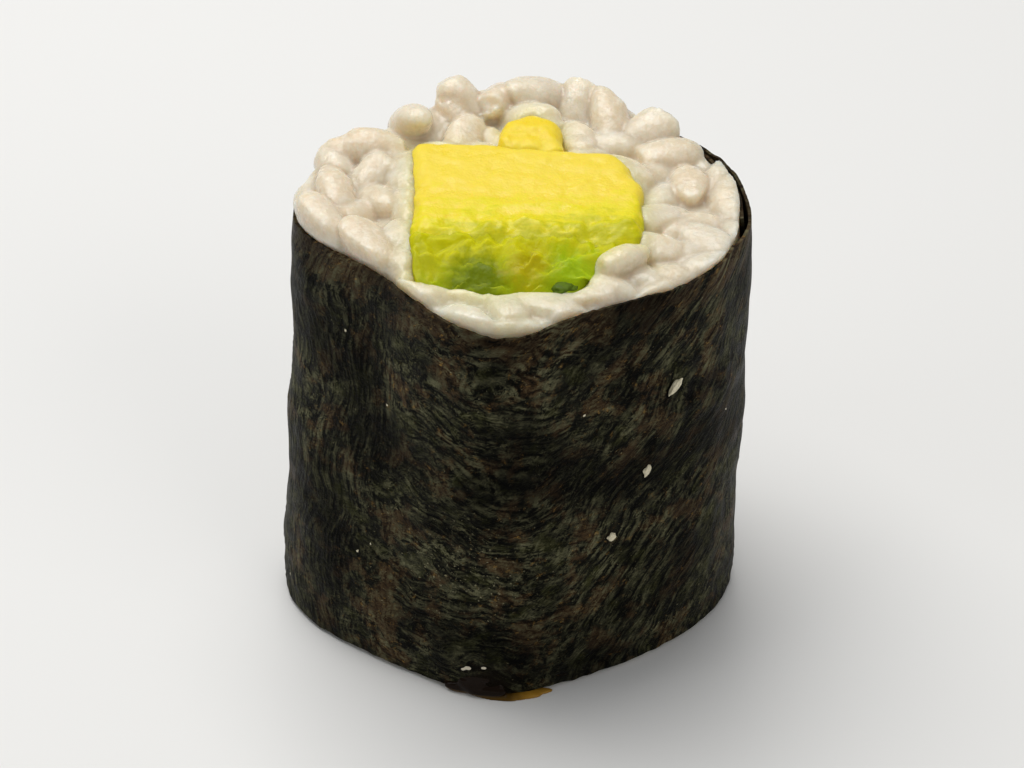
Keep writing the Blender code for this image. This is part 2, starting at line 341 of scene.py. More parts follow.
noriLook = {
    "deepBlack": (0.0008, 0.0009, 0.0006),
    "black": (0.0036, 0.0038, 0.0021),
    "olive": (0.021, 0.022, 0.0055),
    "rust": (0.047, 0.027, 0.012),
    "fibre": (0.108, 0.105, 0.058),
    # The pale and amber flecks are partly the sheet's own specks and partly painted sparkle highlights and
    # glints
    "paleFleckAndSparkle": (0.25, 0.23, 0.14),
    "amberFleckAndGlint": (0.24, 0.140, 0.036),
    "soaked": (0.006, 0.004, 0.002),
    "broadShade": (0.34, 1.50),
    "roughness": (0.34, 0.60),
    "wetRoughness": 0.07,
    "specular": 0.03,
    "relief": 0.00016,
    "fleckRelief": 0.35,  # the flecks' share of the relief
    "fibres": (  # upright, curled and slanting
        {"Turn": 1.45, "Fineness": 3.0, "Stretch": 8.0, "Drift": 2.6, "Drift_Scale": 0.20},
        {"Turn": 0.15, "Fineness": 2.4, "Stretch": 7.0, "Drift": 6.0, "Drift_Scale": 0.17},
        {"Turn": -1.0, "Fineness": 2.8, "Stretch": 8.0, "Drift": 2.8, "Drift_Scale": 0.18}),
    "shortFibres": {"Turn": -0.4, "Fineness": 5.5, "Stretch": 3.5, "Drift": 2.6, "Drift_Scale": 0.9},
    "longShare": 0.68,
    "shortShare": 0.38,
    "turnEvery": 44,  # millimetres of sheet in which the fibres run through their three headings
    "turnFrom": 43,
    "turnWander": 22.0,
    "rustyRim": (28.2, 30.6),  # the heights in millimetres between which the cut edge turns brown
    # Places and their reaches in millimetres; the smears are rusty, and around the first place the pale
    # flecks are thickest as painted sparkle highlights
    "paintedSparkleSpot": ((-3.7, -13.5, 10.5), 7.5),
    "wetSpot": ((-1.6, -14.2, 0.9), 2.4),
    "smears": (((9.6, -9.2, 20.5), 3.6), ((12.2, -6.5, 12.5), 3.4),
               ((-8.0, -11.5, 6.0), 4.2), ((1.0, -13.6, 5.5), 3.0)),
}


# How near a point is to a place: 1 inside the reach and 0 outside it, with an edge that a noise makes uneven
def addNearness(tree, inSpace, place, reach, softness, unevenness, unevenBy):
    away = addVectorMath(tree, "DISTANCE", inSpace, place)
    wobble = addMath(tree, "MULTIPLY_ADD", unevenBy, unevenness, -0.5 * unevenness)
    return addRange(tree, addMath(tree, "ADD", away, wobble), reach, reach - softness)


# Three sets of fibres with their own headings, and a ramp along the sheet that passes from one to the next
def addFibres(tree, laid, alongSheet, mottle):
    sets = [placeGroup(tree, driftGroup, laid, **fibres)["Streaks"] for fibres in noriLook["fibres"]]
    together = addNode(tree, "CombineXYZ", X=sets[0], Y=sets[1], Z=sets[2]).outputs["Vector"]
    reach = noriLook["turnWander"]
    wander = addMath(tree, "MULTIPLY_ADD", mottle, reach, -0.5 * reach - noriLook["turnFrom"])
    along = addMath(tree, "ADD", alongSheet, wander)
    share = addMath(tree, "FRACT", addMath(tree, "DIVIDE", along, noriLook["turnEvery"]))
    between, upright, curled, slanting = (0.5, 0, 0.5), (1, 0, 0), (0, 1, 0), (0, 0, 1)
    which = addRamp(tree, share, (0.0, between), (0.08, upright), (0.28, upright), (0.42, curled),
                    (0.60, curled), (0.74, slanting), (0.92, slanting), (1.0, between))
    chosen = addVectorMath(tree, "DOT_PRODUCT", together, which)
    short = placeGroup(tree, driftGroup, laid, **noriLook["shortFibres"])["Streaks"]
    shortShare = addMath(tree, "MULTIPLY", short, noriLook["shortShare"])
    return addMath(tree, "MULTIPLY_ADD", chosen, noriLook["longShare"], shortShare)


def makeNoriMaterial():
    material, tree, shader = newMaterial("noriFinish")
    sheetMap = tree.nodes.new("ShaderNodeUVMap")
    sheetMap.uv_map = "sheet"
    laid = addNode(tree, "Mapping", Vector=sheetMap.outputs["UV"], Scale=(1000, 1000, 1)).outputs["Vector"]
    onSheet = addNode(tree, "SeparateXYZ", Vector=laid).outputs
    inSpace = inMillimetres(tree)
    mottle = addNoise(tree, laid, 0.36, 5.0, 0.66)
    streaks = addFibres(tree, laid, onSheet["X"], mottle)

    # Rusty, black and olive patches, darker between the fibres and pale on them
    browning = addRange(tree, onSheet["Y"], *noriLook["rustyRim"], 0.0, -0.13)
    shifted = addMath(tree, "ADD", mottle, browning)
    for place, reach in noriLook["smears"]:
        smeared = addNearness(tree, inSpace, place, reach, reach, 6.0, mottle)
        shifted = addMath(tree, "MULTIPLY_ADD", smeared, -0.10, shifted)
    tint = addRamp(tree, shifted, (0.40, noriLook["rust"]), (0.48, noriLook["black"]),
                   (0.54, noriLook["black"]), (0.63, noriLook["olive"]))
    between = addRamp(tree, streaks, (0.38, 1), (0.52, 0.25), (0.60, 0))
    colour = addMix(tree, between, tint, noriLook["deepBlack"])
    threads = addRamp(tree, streaks, (0.49, 0), (0.56, 0.4), (0.66, 1))
    clumps = addNoise(tree, laid, 0.8, 3.0, 0.6)
    clumped = addRamp(tree, clumps, (0.38, 0.10), (0.60, 1))
    colour = addMix(tree, addMath(tree, "MULTIPLY", threads, clumped), colour, noriLook["fibre"])

    # Pale flecks, partly pale grains of the sheet and partly painted sparkle highlights, thickest in one
    # patch low on the front, and amber flecks in the rust, partly the sheet's own specks and partly painted
    # glints
    flecks = addNoise(tree, laid, 4.2, 2.0, 0.6)
    paintedSparkle = addNearness(tree, inSpace, *noriLook["paintedSparkleSpot"], 7.0, 9.0, mottle)
    lifted = addMath(tree, "MULTIPLY_ADD", paintedSparkle, 0.075, flecks)
    pale = addRamp(tree, lifted, (0.655, 0), (0.75, 0.85))
    specks = addNoise(tree, laid, 1.9, 3.0, 0.7)
    grouped = addRamp(tree, specks, (0.46, 0.1), (0.58, 1))
    colour = addMix(tree, addMath(tree, "MULTIPLY", pale, grouped), colour, noriLook["paleFleckAndSparkle"])
    amber = addRamp(tree, specks, (0.60, 0), (0.72, 0.8))
    rusty = addRamp(tree, shifted, (0.40, 1), (0.53, 0.12))
    colour = addMix(tree, addMath(tree, "MULTIPLY", amber, rusty), colour, noriLook["amberFleckAndGlint"])

    # Lighter and darker stretches of sheet, and the spot that the sauce has soaked
    broad = addNoise(tree, laid, 0.14, 3.0, 0.6)
    cloudy = addVectorMath(tree, "SCALE", colour, addRange(tree, broad, 0.36, 0.64, *noriLook["broadShade"]))
    wet = addNearness(tree, inSpace, *noriLook["wetSpot"], 1.3, 2.4, mottle)
    dull = addRange(tree, clumps, 0.35, 0.68, *noriLook["roughness"])
    relief = addMath(tree, "MULTIPLY_ADD", flecks, noriLook["fleckRelief"], streaks)
    bump = addNode(tree, "Bump", Strength=1.0, Distance=noriLook["relief"], Height=relief)
    feedAll(tree, shader, Base_Color=addMix(tree, wet, cloudy, noriLook["soaked"]),
            Roughness=addRange(tree, wet, 0.0, 1.0, dull, noriLook["wetRoughness"]),
            Specular_IOR_Level=noriLook["specular"], Normal=bump.outputs["Normal"])
    return material


riceLook = {
    "grain": (0.70, 0.635, 0.515),
    "warmGrain": (0.69, 0.585, 0.43),
    "fleck": (0.79, 0.74, 0.63),
    # Painted shade: the darker colour put in the creases between grains, where shade falls
    "creaseShade": (0.61, 0.52, 0.38),
    "juice": (0.56, 0.60, 0.36),
    "stain": (0.70, 0.62, 0.22),
    "juiceSpot": ((-1.5, -8.6, 31.4), 5.4),  # place and reach in millimetres of the avocado's juice
    "shares": {"creaseShade": 0.75, "juice": 0.6, "stain": 0.55},
    "moist": {"Scale": 1.2, "Wet": 0.13, "Dry": 0.36, "Grit": 0.06, "Depth": 0.00014},
    "specular": 0.34,
    "coat": 0.12,
    "coatRoughness": 0.12,
    "scatter": (1.0, 0.8, 0.6),
    "scatterScale": 0.0021,
}


def makeRiceMaterial():
    material, tree, shader = newMaterial("riceFinish")
    inSpace = inMillimetres(tree)
    moist = placeGroup(tree, moistGroup, inSpace, **riceLook["moist"])
    patchy = addMath(tree, "MULTIPLY_ADD", moist["Patches"], 0.8, -0.4)
    warmth = addMath(tree, "ADD", addAttribute(tree, "grainTone"), patchy)
    warmth.node.use_clamp = True
    colour = addMix(tree, warmth, riceLook["grain"], riceLook["warmGrain"])
    flecks = addRamp(tree, addNoise(tree, inSpace, 1.7, 4.0, 0.62), (0.44, 0), (0.66, 0.6))
    colour = addMix(tree, flecks, colour, riceLook["fleck"])
    blotches = addNoise(tree, inSpace, 0.5, 2.0)
    juicy = addNearness(tree, inSpace, *riceLook["juiceSpot"], 4.5, 6.0, blotches)
    # Painted shade in the creases between grains; the juice and the stain are the avocado's colour soaked
    # into the rice
    creaseShade, stain = addAttribute(tree, "creaseShade"), addAttribute(tree, "stain")
    for where, shade in ((creaseShade, "creaseShade"), (juicy, "juice"), (stain, "stain")):
        share = addMath(tree, "MULTIPLY", where, riceLook["shares"][shade])
        colour = addMix(tree, share, colour, riceLook[shade])
    feedAll(tree, shader, Base_Color=colour, Roughness=moist["Roughness"], Normal=moist["Normal"],
            Specular_IOR_Level=riceLook["specular"], Coat_Weight=riceLook["coat"],
            Coat_Roughness=riceLook["coatRoughness"], Subsurface_Weight=1.0,
            Subsurface_Radius=riceLook["scatter"], Subsurface_Scale=riceLook["scatterScale"])
    return material


avocadoLook = {
    "marigold": (0.84, 0.63, 0.024),
    "butter": (0.84, 0.66, 0.058),
    "lemon": (0.77, 0.67, 0.014),
    "lime": (0.54, 0.52, 0.003),
    "green": (0.33, 0.40, 0.003),
    "deepGreen": (0.130, 0.185, 0.003),
    "smear": {"Turn": 0.04, "Fineness": 1.5, "Stretch": 6.0, "Drift": 1.2, "Drift_Scale": 0.3},
    "moist": {"Scale": 0.9, "Wet": 0.26, "Dry": 0.52, "Grit": 0.12, "Depth": 0.00011},
    "fleshSpan": (8.0, -5.6),  # millimetres along Y over which the colours run, from the back to the front
    "greenSpan": (-4.9, -9.4),
    "fleshSpecular": 0.26,
    "greenSpecular": 0.10,
    "scatterWeight": 0.45,
    "scatter": (1.0, 0.8, 0.25),
    "scatterScale": 0.0007,
    "patches": (((-7.2, -7.9, 31.3), 1.9, (0.24, 0.27, 0.008)),
                ((-2.8, -7.9, 31.6), 2.9, (0.150, 0.200, 0.002)),
                ((3.4, -7.2, 31.8), 2.6, (0.330, 0.460, 0.005)),
                ((0.5, -7.0, 31.9), 2.2, (0.42, 0.37, 0.004)),
                ((-6.4, -6.9, 31.8), 2.2, (0.46, 0.46, 0.010))),  # place and reach in millimetres, colour
}


# The colours in stops run from the strip's back to its front, unevenly
def makeAvocadoMaterial(name, stops, span, specular, patches=()):
    material, tree, shader = newMaterial(name)
    inSpace = inMillimetres(tree)
    smear = placeGroup(tree, driftGroup, inSpace, **avocadoLook["smear"])
    moist = placeGroup(tree, moistGroup, inSpace, **avocadoLook["moist"])
    parts = addNode(tree, "SeparateXYZ", Vector=inSpace).outputs
    uneven = addMath(tree, "MULTIPLY_ADD", smear["Streaks"], 0.55, -0.275)
    patchy = addMath(tree, "MULTIPLY_ADD", moist["Patches"], 0.5, -0.25)
    spread = addMath(tree, "ADD", uneven, patchy)
    sideways = addMath(tree, "MULTIPLY_ADD", parts["X"], 0.004, spread)
    ripeness = addMath(tree, "ADD", addRange(tree, parts["Y"], *span), sideways)
    ripeness.node.use_clamp = True
    colour = addRamp(tree, ripeness, *((place, avocadoLook[shade]) for place, shade in stops))
    blotches = addNoise(tree, inSpace, 0.9, 3.0, 0.6)
    for place, reach, shade in patches:
        near = addNearness(tree, inSpace, place, reach, 1.6, 4.0, blotches)
        colour = addMix(tree, near, colour, shade)
    feedAll(tree, shader, Base_Color=colour, Roughness=moist["Roughness"], Normal=moist["Normal"],
            Specular_IOR_Level=specular, Subsurface_Weight=avocadoLook["scatterWeight"],
            Subsurface_Radius=avocadoLook["scatter"], Subsurface_Scale=avocadoLook["scatterScale"])
    return material


print("materials ready")


noriSheet = {
    "width": 0.105,
    "thickness": 0.00022,
    "step": 0.0005,  # the second layer stands this far outside the first
    "columns": 356,
    "rows": 110,
    "seamStart": math.radians(-4),
    "seamClimb": math.radians(16),
    "turnsTried": 1.5,  # how far round the sheet is followed, in turns, and in how many steps
    "turnSteps": 500,
    "footLift": 0.0002,
    "ragged": 0.00015,
    "raggedScale": 900,
    "fineRaggedScale": 2600,
    "riceBumps": 0.00013,
    "wrinkles": 0.00010,
    "bumpScale": 0.36,  # this and the scales below are per millimetre
    "driftScale": 0.11,
    "drift": 4.5,
    "foldScale": 0.55,
    "patchScale": 0.13,
    "patchContrast": 1.6,
    "creaseAngle": math.radians(50),
}


def seamLift(turn):
    climbed = (turn - (noriSheet["seamStart"] + math.tau - noriSheet["seamClimb"])) / noriSheet["seamClimb"]
    return ease(climbed) * noriSheet["step"]


def sheetTurns(height, lengths):
    lastTurn = noriSheet["seamStart"] + noriSheet["turnsTried"] * math.tau
    turns = np.linspace(noriSheet["seamStart"], lastTurn, noriSheet["turnSteps"])
    points = np.array([wallPoint(turn, height, -seamLift(turn))[:2] for turn in turns])
    run = np.concatenate([[0.0], np.cumsum(np.linalg.norm(np.diff(points, axis=0), axis=1))])
    return np.interp(lengths, run, turns)


def sheetRelief(along, height):
    spot = Vector((along, height, 0)) * 1000
    bumps = noise.noise(spot * noriSheet["bumpScale"])
    drift = driftAt(spot * noriSheet["driftScale"]) * noriSheet["drift"]
    fold = 1 - abs(noise.noise((spot + drift) * noriSheet["foldScale"]))
    elsewhere = Vector((7, 3, 1))
    patch = 0.5 + noriSheet["patchContrast"] * noise.noise(spot * noriSheet["patchScale"] + elsewhere)
    return noriSheet["riceBumps"] * bumps + noriSheet["wrinkles"] * ease(patch) * fold ** 3


def tornEdge(along, scale, line):
    return noise.noise(Vector((along * scale, line, 0)))


def makeNori():
    deselectAll()
    columns, rows = noriSheet["columns"], noriSheet["rows"]
    bpy.ops.mesh.primitive_grid_add(x_subdivisions=columns, y_subdivisions=rows, size=1)
    sheet = bpy.context.object
    sheet.name = "nori_wrap"
    unrolled = vertexPlaces(sheet)
    shares = unrolled[:, 1] + 0.5
    lengths = (unrolled[:, 0] + 0.5) * noriSheet["width"]
    rolled = np.empty_like(unrolled)
    for share in np.unique(shares.round(5)):
        row = np.nonzero(abs(shares - share) < 1e-4)[0]
        turns = sheetTurns(share * section["height"], lengths[row])
        for index, turn, along in zip(row, turns, lengths[row]):
            tornRim = tornEdge(along, noriSheet["raggedScale"], 5)
            tornRim += 0.6 * tornEdge(along, noriSheet["fineRaggedScale"], 9)
            tornFoot = 0.8 + tornEdge(along, noriSheet["raggedScale"], 25)
            foot = noriSheet["footLift"] + noriSheet["ragged"] * tornFoot
            height = mix(foot, rimHeight(turn) + noriSheet["ragged"] * tornRim, share)
            rolled[index] = wallPoint(turn, height, -seamLift(turn) - sheetRelief(along, height))
    placeVertices(sheet, rolled)
    sheetMap = sheet.data.uv_layers[0]
    sheetMap.name = "sheet"
    corners = np.empty(len(sheetMap.uv) * 2, np.float32)
    sheetMap.uv.foreach_get("vector", corners)
    corners = corners.reshape(-1, 2) * (noriSheet["width"], section["height"])
    sheetMap.uv.foreach_set("vector", corners.astype(np.float32).ravel())
    solidify = sheet.modifiers.new("thickness", "SOLIDIFY")
    solidify.thickness = noriSheet["thickness"]
    solidify.offset = -1
    applyModifiers(sheet)
    bpy.ops.object.shade_smooth_by_angle(angle=noriSheet["creaseAngle"])
    finishPiece(sheet, makeNoriMaterial(), "nori", "nori_sheet")
    return sheet


nori = makeNori()
print("nori rolled:", len(nori.data.polygons), "faces")


stripTwist = math.radians(-7)  # how far the foot of each strip is turned from its top

cutEnds = {
    "blockSize": 1.6,  # of the block that a strip is cut from, against the solid that it replaces
    "topFrom": 0.0285,  # the heights beyond which a strip's faces are uneven
    "footFrom": 0.0022,
    "fade": 0.002,
    "insideCrumble": 0.25,  # away from the rough front
    "sideways": 0.8,  # how much of the roughness also moves the front face
    "bevelSegments": 3,
}

strips = {
    "avocado_wedge": {
        "node": "avocado_slab",
        "slot": "avocado_flesh",
        "corners": ((-0.0074, -0.0052), (0.0080, -0.0056), (0.0084, 0.0010),
                    (0.0066, 0.0048), (-0.0073, 0.0064)),
        "top": 0.0327,
        "slope": (0.012, 0.020),
        "falls": ((-0.0038, 0.44),),  # where along Y the top starts to fall away, and its slope there
        "edge": 0.0009,
        "voxel": 0.00019,
        "smoothing": 9,
        "smear": 0.00006,
        "crumble": 0.00034,
        "roughFrom": -0.0020,
        "waver": 0.00045,
    },
    "avocado_green": {
        "node": "avocado_slice",
        "slot": "avocado_rim",
        "corners": ((-0.0071, -0.0083), (-0.0020, -0.0091), (0.0036, -0.0090),
                    (0.0066, -0.0062), (0.0060, -0.0036), (-0.0070, -0.0034)),
        "top": 0.03384,
        "slope": (0.0, 0.34),
        "falls": ((-0.0078, 0.84), (-0.0042, -0.20)),
        "edge": 0.0007,
        "voxel": 0.00017,
        "smoothing": 4,
        "smear": 0.00014,
        "crumble": 0.00050,
        "roughFrom": -0.0034,
        "waver": 0.00070,
    },
    "avocado_chip": {
        "node": "avocado_offcut",
        "slot": "avocado_flesh",
        "corners": ((-0.0016, 0.0050), (0.0031, 0.0046), (0.0028, 0.0083),
                    (0.0006, 0.0095), (-0.0014, 0.0084)),
        "top": 0.0329,
        "slope": (0.0, 0.01),
        "falls": (),
        "edge": 0.0008,
        "voxel": 0.00017,
        "smoothing": 5,
        "smear": 0.00010,
        "crumble": 0.00020,
        "roughFrom": 0.0082,
        "waver": 0.00040,
    },
}


def cutAway(point, outwards):
    bpy.ops.mesh.select_all(action="SELECT")
    outwards = Vector(outwards).normalized()
    bpy.ops.mesh.bisect(plane_co=point, plane_no=outwards, use_fill=True, clear_outer=True, threshold=1e-6)


def makeStrip(name, look, material):
    low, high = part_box(look["node"])
    deselectAll()
    blockSize = (high - low) * cutEnds["blockSize"]
    bpy.ops.mesh.primitive_cube_add(size=1, location=(low + high) / 2, scale=blockSize)
    bpy.ops.object.transform_apply(location=True, rotation=False, scale=True)
    strip = bpy.context.object
    strip.name = name
    setMode("EDIT")
    corners = [Vector((*corner, 0)) for corner in look["corners"]]
    for here, there in zip(corners, corners[1:] + corners[:1]):
        side = there - here
        cutAway(here, (side.y, -side.x, 0))
    slopeX, slopeY = look["slope"]
    cutAway((0, 0, look["top"]), (-slopeX, -slopeY, 1))
    for fallFrom, slope in look["falls"]:
        cutAway((0, fallFrom, look["top"] + slopeY * fallFrom), (-slopeX, -slope, 1))
    cutAway((0, 0, 0), (0, 0, -1))
    setMode("OBJECT")
    bevel = strip.modifiers.new("softEdges", "BEVEL")
    bevel.width = look["edge"]
    bevel.segments = cutEnds["bevelSegments"]
    bevel.limit_method = "ANGLE"
    voxelRemesh(strip, look["voxel"], look["smoothing"])

    places = vertexPlaces(strip)
    for index, place in enumerate(places):
        spot = Vector(place) * 1000
        height = place[2]
        nearTop = ease((height - cutEnds["topFrom"]) / cutEnds["fade"])
        nearCut = max(nearTop, ease((cutEnds["footFrom"] - height) / cutEnds["fade"]))
        streak = noise.noise(Vector((spot.x * 0.22, spot.y * 0.9 + 0.4 * noise.noise(spot * 0.3), spot.z)))
        lump = noise.fractal(spot * 0.75, 0.8, 2.1, 3)
        atFront = ease((look["roughFrom"] - place[1]) / cutEnds["fade"])
        rough = look["smear"] * streak + look["crumble"] * lump * mix(cutEnds["insideCrumble"], 1.0, atFront)
        if height > section["height"] / 2:
            place[2] += rough * nearCut
        place[1] += cutEnds["sideways"] * rough * nearCut * atFront
        waver = driftAt(spot * 0.30) + 0.4 * driftAt(spot * 0.9)
        place[0] += look["waver"] * waver.x * nearCut
        place[1] += 0.7 * look["waver"] * waver.y * nearCut
        turn = Matrix.Rotation(stripTwist * (1 - height / section["height"]), 2)
        place[:2] = turn @ Vector(place[:2])
    places[:, 2] = np.maximum(places[:, 2], 0.0)
    placeVertices(strip, places)
    shadeSmooth(strip)
    finishPiece(strip, material, look["slot"], look["node"])
    return strip


avocadoFinishes = {
    "avocado_flesh": makeAvocadoMaterial(
        "avocadoFleshFinish",
        ((0.02, "marigold"), (0.20, "butter"), (0.58, "butter"), (0.78, "lemon"), (0.95, "lime")),
        avocadoLook["fleshSpan"], avocadoLook["fleshSpecular"]),
    "avocado_rim": makeAvocadoMaterial(
        "avocadoGreenFinish",
        ((0.30, "lime"), (0.58, "green"), (0.80, "green"), (0.98, "deepGreen")),
        avocadoLook["greenSpan"], avocadoLook["greenSpecular"], avocadoLook["patches"]),
}
for stripName, stripLook in strips.items():
    made = makeStrip(stripName, stripLook, avocadoFinishes[stripLook["slot"]])
    print(stripName, "cut:", len(made.data.polygons), "faces")


rice = {
    "length": 0.0060,
    "width": 0.0031,
    "depth": 0.0027,
    "segments": 20,
    "rings": 13,
    "inset": 0.00028,
    "overhang": 0.0007,
    "overhangFrom": 0.0002,  # below the rim, and the height over which the overhang comes in
    "overhangFade": 0.0007,
    "stripMargin": 0.0002,
    "stripFall": 1.5,  # how steeply grains are pressed down inside a strip's outline
    "voxel": 0.000165,
    "smoothing": 2,
    "bluntEnds": ((0.45, 1.05), (0.80, 1.10)),  # the shares of its half length from which a grain widens
    "germNotch": (0.0003, 0, -0.00045),
    "sizes": (0.88, 1.10),
    "tilts": (0.35, 0.95),  # the most a grain leans, in front and on the far side
    "rolls": 0.8,
    "jitter": 0.00035,
    "layerDepth": 0.0012,
    "tries": 4000,
    "wallShare": 0.955,
    "intoStrips": 0.0004,  # how far inside a strip's outline a grain's middle may lie
    "topLevel": 0.0302,
    "footLevel": 0.0011,
    "bulge": 0.0017,
    "bulgeMargin": 0.0002,
    "bulgeFrom": (0.55, 0.35),  # the share of the radius where the far side starts to rise, and over how much
    "topCut": 0.0312,
    "press": (0.00022, 0.0016),  # how far grains may round up over the cut, in front and on the far side
    "footPress": 0.0006,
    "spacing": 0.0021,
    "farSpacing": 0.0027,
    "layers": 2,
    "heap": 0.0008,
    "heapReach": 0.0022,
    "heapFrom": -0.0058,
    "heapFade": 0.002,
    "wallGive": 0.0004,
    "coreDepth": (0.00042, 0.0012),  # how far packed rice lies under the cut, in front and on the far side
    "topCoreFrom": 0.0265,
    "footCore": (0.0010, 0.0042),  # the levels that this body of packed rice lies between
    "middleCore": (0.0035, 0.0272),
    "coreGap": 0.0001,  # between the faces' packed rice and the grains' own inset
    "middleGap": 0.0002,
    "coreSides": 144,
    "coreRings": 8,
    "coreRingWidth": 0.11,
    "strayGrains": (((0.0067, -0.0064, 0.0318), 35, 0.72),
                    ((0.0059, -0.0083, 0.0309), -20, 0.60)),  # place, heading, size
    "strayTone": 0.1,
    # the width of the painted shade along the creases between grains
    "creaseShadeWidth": 0.26,
    "stainReach": 0.0007,  # how far the avocado's colour has soaked into the rice
    "seed": 11,
}


# Three grains are modelled, and every other one is a copy with its own mesh
def modelGrain(name, slimmer, bend, plump):
    deselectAll()
    bpy.ops.mesh.primitive_uv_sphere_add(
        segments=rice["segments"], ring_count=rice["rings"], radius=0.5, rotation=(0, math.pi / 2, 0))
    bpy.ops.object.transform_apply(location=False, rotation=True, scale=False)
    grain = bpy.context.object
    grain.name = name
    setMode("EDIT")
    size = (rice["length"], rice["width"] * plump, rice["depth"] * plump)
    bpy.ops.transform.resize(value=size, center_override=(0, 0, 0))
    reach = rice["length"] / 2
    for share, grow in rice["bluntEnds"]:
        selectVertices(grain, lambda co: abs(co.x) > share * reach)
        bpy.ops.transform.resize(value=(1, grow, grow), center_override=(0, 0, 0))
    selectVertices(grain, lambda co: co.x > 0.5 * reach)
    bpy.ops.transform.resize(value=(1, slimmer, slimmer), center_override=(0, 0, 0))
    selectVertices(grain, lambda co: abs(co.x) > 0.4 * reach)
    bpy.ops.transform.translate(value=(0, bend, 0))
    selectVertices(grain, lambda co: co.x < -0.75 * reach and co.z > 0)  # the notch where the germ sat
    bpy.ops.transform.translate(value=rice["germNotch"])
    setMode("OBJECT")
    return grain


# How far each point is inside a strip's outline, in metres; outside it this is negative
def depthsInStrip(places, corners):
    places = np.asarray(places, float).reshape(-1, 3)
    turns = -stripTwist * (1 - places[:, 2] / section["height"])
    x = places[:, 0] * np.cos(turns) - places[:, 1] * np.sin(turns)
    y = places[:, 0] * np.sin(turns) + places[:, 1] * np.cos(turns)
    depths = np.full(len(places), np.inf)
    for (hereX, hereY), (thereX, thereY) in zip(corners, corners[1:] + corners[:1]):
        sideX, sideY = thereX - hereX, thereY - hereY
        away = (sideX * (y - hereY) - sideY * (x - hereX)) / math.hypot(sideX, sideY)
        depths = np.minimum(depths, away)
    return depths


def stripTop(spot, look):
    return look["top"] + look["slope"][0] * spot[0] + look["slope"][1] * spot[1]


# The depths inside whichever strip is nearest
def besideStrips(places):
    return np.max([depthsInStrip(places, look["corners"]) for look in strips.values()], axis=0)


# How much the rice is heaped up beside the slab, but not in front of it
def heapAt(places):
    places = np.asarray(places, float).reshape(-1, 3)
    intoSlab = depthsInStrip(places, strips["avocado_wedge"]["corners"])
    near = np.exp(np.minimum(intoSlab, 0) / rice["heapReach"])
    behindFront = np.clip((places[:, 1] - rice["heapFrom"]) / rice["heapFade"], 0, 1)
    return rice["heap"] * near * behindFront


# How much a place belongs to the raised far side
def farShare(angle, share):
    start, width = rice["bulgeFrom"]
    return farSide(angle) * ease((share - start) / width)


# The level that the knife left: higher on the far side, and heaped up to the slab
def cutLevel(angle, share, heaped):
    return rice["topCut"] + max((rice["bulge"] + rice["bulgeMargin"]) * farShare(angle, share), heaped)


def packedLevel(angle, share):
    heaped = heapAt(wallPoint(angle, section["height"]) * share)[0]
    depth = mix(*rice["coreDepth"], farSide(angle) * ease((share - 0.4) / 0.4))
    return cutLevel(angle, share, heaped) - depth


# Places for one layer of grains, no two nearer than the spacing, and none well inside the avocado
def spreadGrains(level, bulge, top, chance):
    taken = []
    for _ in range(rice["tries"]):
        angle = chance.uniform(0, math.tau)
        share = math.sqrt(chance.uniform(0, 1)) * rice["wallShare"]
        far = farShare(angle, share)
        wall = wallPoint(angle, level)
        spot = Vector((wall.x * share, wall.y * share, level + bulge * far))
        apart = mix(rice["spacing"], rice["farSpacing"], far)
        if any((spot - other).length < apart for other, _, _ in taken):
            continue
        if besideStrips(spot)[0] > rice["intoStrips"]:
            continue
        if top:
            spot.z += heapAt(spot)[0] * (1 - far)
        taken.append((spot, angle, share))
    return taken


# Presses a layer of grains inside the nori, down to the knife's cut and below the tops of the strips
def pressInside(places, top):
    depths = {name: depthsInStrip(places, look["corners"]) for name, look in strips.items()}
    heaped = heapAt(places)
    centreX, centreY = section["centre"]
    give, footPress = rice["wallGive"], rice["footPress"]
    for index, place in enumerate(places):
        offX, offY = place[0] - centreX, place[1] - centreY
        angle = math.atan2(offY, offX)
        radius = math.hypot(offX, offY)
        wall = wallRadius(angle, min(max(place[2], 0.0), section["height"]))
        limit = wall - rice["inset"]
        if top:
            overRim = place[2] - rimHeight(angle) + rice["overhangFrom"]
            over = ease(overRim / rice["overhangFade"]) * farSide(angle)
            limit += over * (rice["overhang"] + rice["inset"])
            cut = cutLevel(angle, radius / wall, heaped[index])
            if place[2] > cut:
                room = mix(*rice["press"], farSide(angle))
                place[2] = cut + room * (1 - math.exp((cut - place[2]) / room))
            for name, look in strips.items():
                depth = depths[name][index]
                if depth > -rice["stripMargin"]:
                    place[2] = min(place[2], stripTop(place, look) - rice["stripFall"] * depth)
        elif place[2] < footPress:
            place[2] = footPress * math.exp(max(place[2] - footPress, -0.01) / footPress)
        if radius > limit - give:
            pull = (limit - give * math.exp((limit - give - radius) / give)) / radius
            place[:2] = centreX + offX * pull, centreY + offY * pull


# A body inside the nori between two levels. Its ends are inset into rings, so that they can rise and fall
def makeCore(name, low, high, inset):
    deselectAll()
    bpy.ops.mesh.primitive_cylinder_add(vertices=rice["coreSides"], radius=1, depth=1, end_fill_type="NGON")
    core = bpy.context.object
    core.name = name
    setMode("EDIT")
    bpy.ops.mesh.select_mode(type="FACE")
    for upper in (True, False):
        setMode("OBJECT")
        for face in core.data.polygons:
            face.select = (face.normal.z > 0.5) if upper else (face.normal.z < -0.5)
        setMode("EDIT")
        for _ in range(rice["coreRings"]):
            bpy.ops.mesh.inset(thickness=rice["coreRingWidth"])
    setMode("OBJECT")
    for vertex in core.data.vertices:
        angle, share = math.atan2(vertex.co.y, vertex.co.x), min(vertex.co.xy.length, 1.0)
        level = (high if vertex.co.z > 0 else low)(angle, share)
        wall = wallPoint(angle, level, inset)
        vertex.co = (wall.x * share, wall.y * share, level)
    return core


def levelEnd(level):
    return lambda angle, share: level
